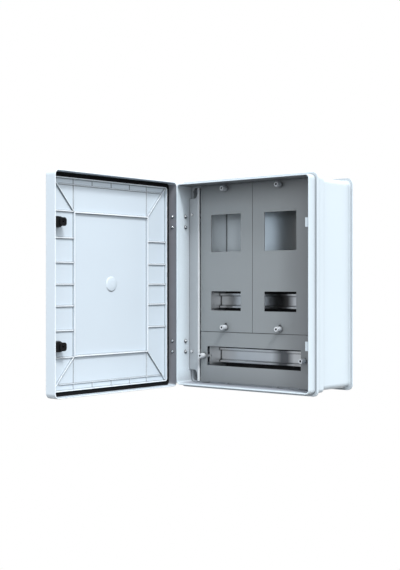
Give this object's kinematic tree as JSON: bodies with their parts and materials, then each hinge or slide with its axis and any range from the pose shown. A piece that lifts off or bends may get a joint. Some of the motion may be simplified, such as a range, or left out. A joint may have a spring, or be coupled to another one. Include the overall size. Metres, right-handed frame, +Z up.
{
  "type": "electric meter box",
  "caption": "Wall-hung plastic meter box with a hinged gasketed door, turn latches, mounting rails and screwed metal covers with meter windows and breaker slots.",
  "frame": {"origin": "centre of the body's flat back face, where it meets the wall", "axes": "+Z up, the front faces -Y, +X to the right seen from the front; stored with the door open 90 degrees on its left-hand hinges"},
  "size_m": [0.4375, 0.563, 0.5],
  "materials": {
    "white_moulding": "satin white moulded plastic",
    "painted_grey_sheet": "semi-gloss grey paint on folded steel sheet",
    "zinc": "bright zinc plate",
    "white_screw": "white moulded screw",
    "black_plastic": "matt black plastic",
    "hinge_metal": "white painted steel",
    "black_rubber": "matt black sealing foam"
  },
  "bodies": {
    "cabinet": {"enclosure_body": "white_moulding", "left_upright": "painted_grey_sheet", "right_upright": "painted_grey_sheet", "upright_screws": "zinc", "chassis": "painted_grey_sheet", "chassis_screws": "zinc", "crossbar_upper": "painted_grey_sheet", "crossbar_middle": "painted_grey_sheet", "upper_left_cover": "painted_grey_sheet", "upper_right_cover": "painted_grey_sheet", "lower_cover": "painted_grey_sheet", "cover_screws": "white_screw", "clinch_nuts": "zinc", "din_rail_upper": "zinc", "din_rail_lower": "zinc", "rail_backing_upper": "black_plastic", "rail_backing_lower": "black_plastic", "rail_supports_upper": "zinc", "rail_supports_lower": "zinc", "hinge_body_leaves": "hinge_metal", "hinge_pins": "hinge_metal", "hinge_body_screws": "zinc"},
    "door": {"door_shell": "white_moulding", "door_gasket": "black_rubber", "hinge_door_leaves": "hinge_metal", "hinge_door_screws": "zinc", "latch_housings": "black_plastic", "latch_nuts": "black_plastic"},
    "latch_upper": {"latch_upper_spindle": "black_plastic", "latch_upper_cam": "black_plastic"},
    "latch_lower": {"latch_lower_spindle": "black_plastic", "latch_lower_cam": "black_plastic"}
  },
  "joints": [
    {"name": "door_hinge", "type": "hinge", "parent": "cabinet", "child": "door", "pos_m": [-0.207, -0.156, 0], "axis": [0, 0, -1], "range_deg": [-90, 90]},
    {"name": "latch_upper_turn", "type": "hinge", "parent": "door", "child": "latch_upper", "pos_m": [-0.207, -0.532, 0.1372], "axis": [1, 0, 0], "range_deg": [0, 90]},
    {"name": "latch_lower_turn", "type": "hinge", "parent": "door", "child": "latch_lower", "pos_m": [-0.207, -0.532, -0.1372], "axis": [1, 0, 0], "range_deg": [0, 90]}
  ]
}
